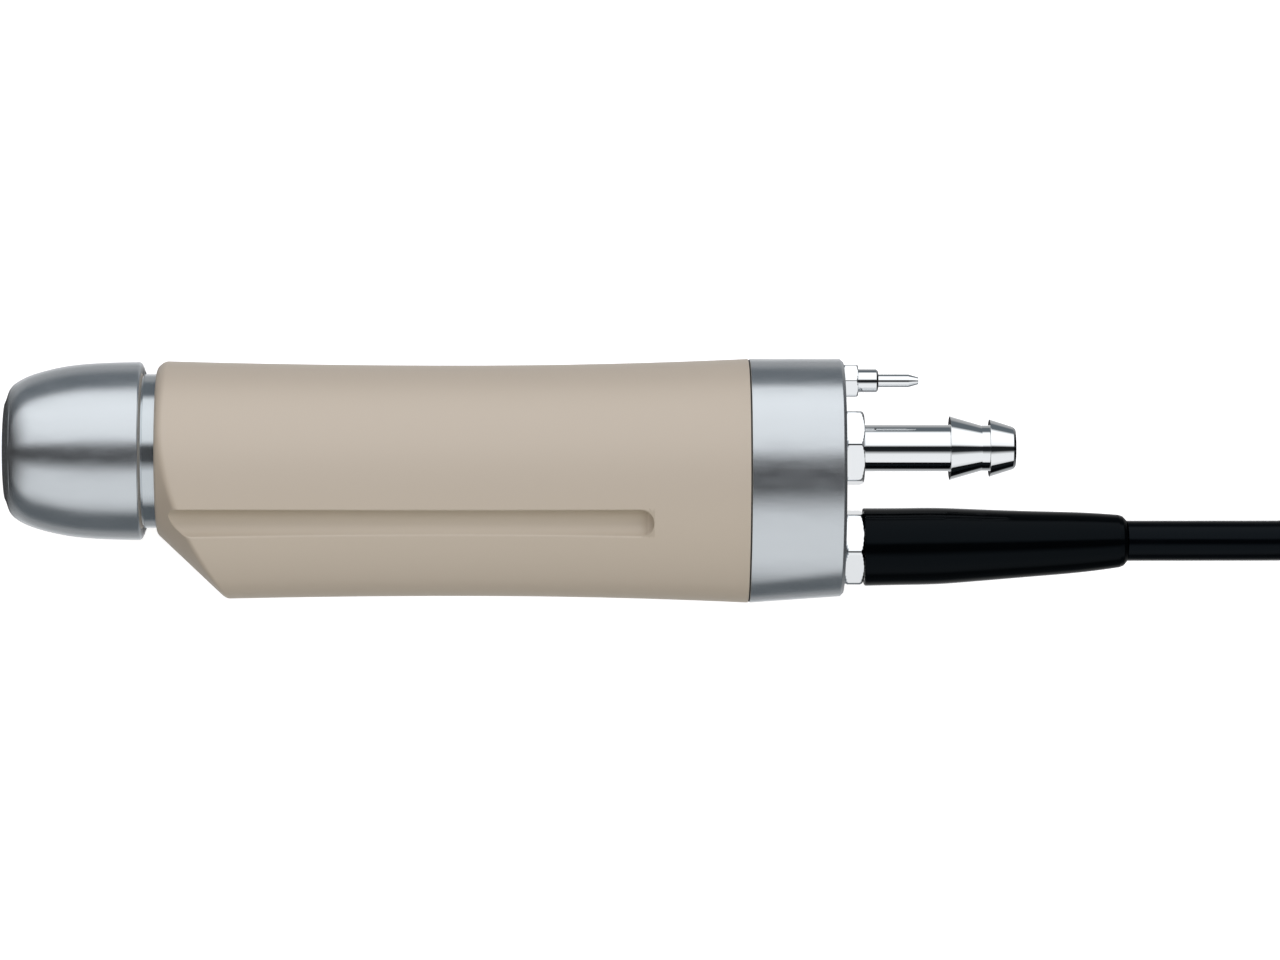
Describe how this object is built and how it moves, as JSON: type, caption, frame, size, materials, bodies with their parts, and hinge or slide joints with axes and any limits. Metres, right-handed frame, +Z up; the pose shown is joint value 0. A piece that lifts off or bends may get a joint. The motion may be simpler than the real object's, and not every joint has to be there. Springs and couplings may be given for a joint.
{
  "type": "surgical shaver handpiece",
  "caption": "Powered shaver handpiece with an egg-shaped waisted housing, a ball-lock blade socket under a sliding sleeve, irrigation and suction fittings and a folded cable with a round plug.",
  "frame": {"origin": "centre of the blade socket's mouth, on the blade axis", "axes": "+X along the blade axis from the socket back to the cable, +Y to the irrigation side, +Z up from the table the tool lies on"},
  "size_m": [0.3879, 0.0619, 0.0404],
  "materials": {
    "satin_steel": "satin",
    "polished_steel": "polished",
    "beige_housing": "matte",
    "dark_gasket": "matte",
    "chrome_fitting": "polished",
    "boot_rubber": "glossy",
    "cable_jacket": "glossy",
    "plug_metal": "satin",
    "contact_gold": "polished",
    "hard_steel": "ground",
    "case_aluminium": "machined",
    "seal_rubber": "matte",
    "woven_strap": "woven",
    "line_plastic": "smooth",
    "core_steel": "laminated",
    "copper_winding": "enamelled",
    "board_green": "coated"
  },
  "bodies": {
    "handpiece": {"rear_cap": "satin_steel", "chuck_body": "polished_steel", "housing_shell": "beige_housing", "rear_gasket": "dark_gasket", "irrigation_fitting": "chrome_fitting", "suction_fitting": "chrome_fitting", "gland_body": "chrome_fitting", "strain_relief": "boot_rubber", "plug_boot": "boot_rubber", "cable": "cable_jacket", "cable_coil": "cable_jacket", "cable_tail": "cable_jacket", "plug_back": "plug_metal", "plug_collar": "plug_metal", "plug_shell": "plug_metal", "plug_pins": "contact_gold", "stop_ring": "hard_steel", "sleeve_spring": "hard_steel", "front_bearing_outer": "hard_steel", "rear_bearing_outer": "hard_steel", "motor_bearing_front": "hard_steel", "motor_bearing_rear": "hard_steel", "case_screws": "hard_steel", "gland_lock_nut": "hard_steel", "suction_lock_nut": "hard_steel", "gear_case": "case_aluminium", "motor_case": "case_aluminium", "motor_lid": "case_aluminium", "sleeve_seal": "seal_rubber", "front_shaft_seal": "seal_rubber", "rear_shaft_seal": "seal_rubber", "coil_tie": "woven_strap", "suction_line": "line_plastic", "irrigation_line": "line_plastic", "stator_core": "core_steel", "stator_windings": "copper_winding", "motor_leads": "copper_winding", "sensor_board": "board_green"},
    "sleeve": {"locking_sleeve": "satin_steel", "nose_ring": "satin_steel"},
    "ball_1": {"lock_ball_1": "hard_steel"},
    "ball_2": {"lock_ball_2": "hard_steel"},
    "ball_3": {"lock_ball_3": "hard_steel"},
    "spindle": {"drive_spindle": "hard_steel", "output_gear": "hard_steel", "front_bearing_inner": "hard_steel", "rear_bearing_inner": "hard_steel"},
    "rotor": {"rotor_shaft": "hard_steel", "motor_pinion": "hard_steel", "rotor_magnet": "core_steel"}
  },
  "joints": [
    {"name": "sleeve_slide", "type": "slide", "parent": "handpiece", "child": "sleeve", "axis": [1, 0, 0], "range_m": [0, 0.0013], "stiffness_N_per_m": 2500, "springref_m": -0.002, "deforming": ["sleeve_spring"]},
    {"name": "ball_1_slide", "type": "slide", "parent": "handpiece", "child": "ball_1", "axis": [0, -1, 0], "range_m": [0, 0.0006]},
    {"name": "ball_2_slide", "type": "slide", "parent": "handpiece", "child": "ball_2", "axis": [0, 0.5, -0.866], "range_m": [0, 0.0006]},
    {"name": "ball_3_slide", "type": "slide", "parent": "handpiece", "child": "ball_3", "axis": [0, 0.5, 0.866], "range_m": [0, 0.0006]},
    {"name": "spindle_spin", "type": "hinge", "parent": "handpiece", "child": "spindle", "pos_m": [0.04, 0, 0], "axis": [1, 0, 0], "continuous": true},
    {"name": "rotor_spin", "type": "hinge", "parent": "handpiece", "child": "rotor", "pos_m": [0.07, -0.01225, 0], "axis": [1, 0, 0], "continuous": true}
  ],
  "couplings": [
    {"joint": "ball_1_slide", "follows": "sleeve_slide", "ratio": 0.43846},
    {"joint": "ball_2_slide", "follows": "sleeve_slide", "ratio": 0.43846},
    {"joint": "ball_3_slide", "follows": "sleeve_slide", "ratio": 0.43846},
    {"joint": "rotor_spin", "follows": "spindle_spin", "ratio": -1.5789}
  ]
}
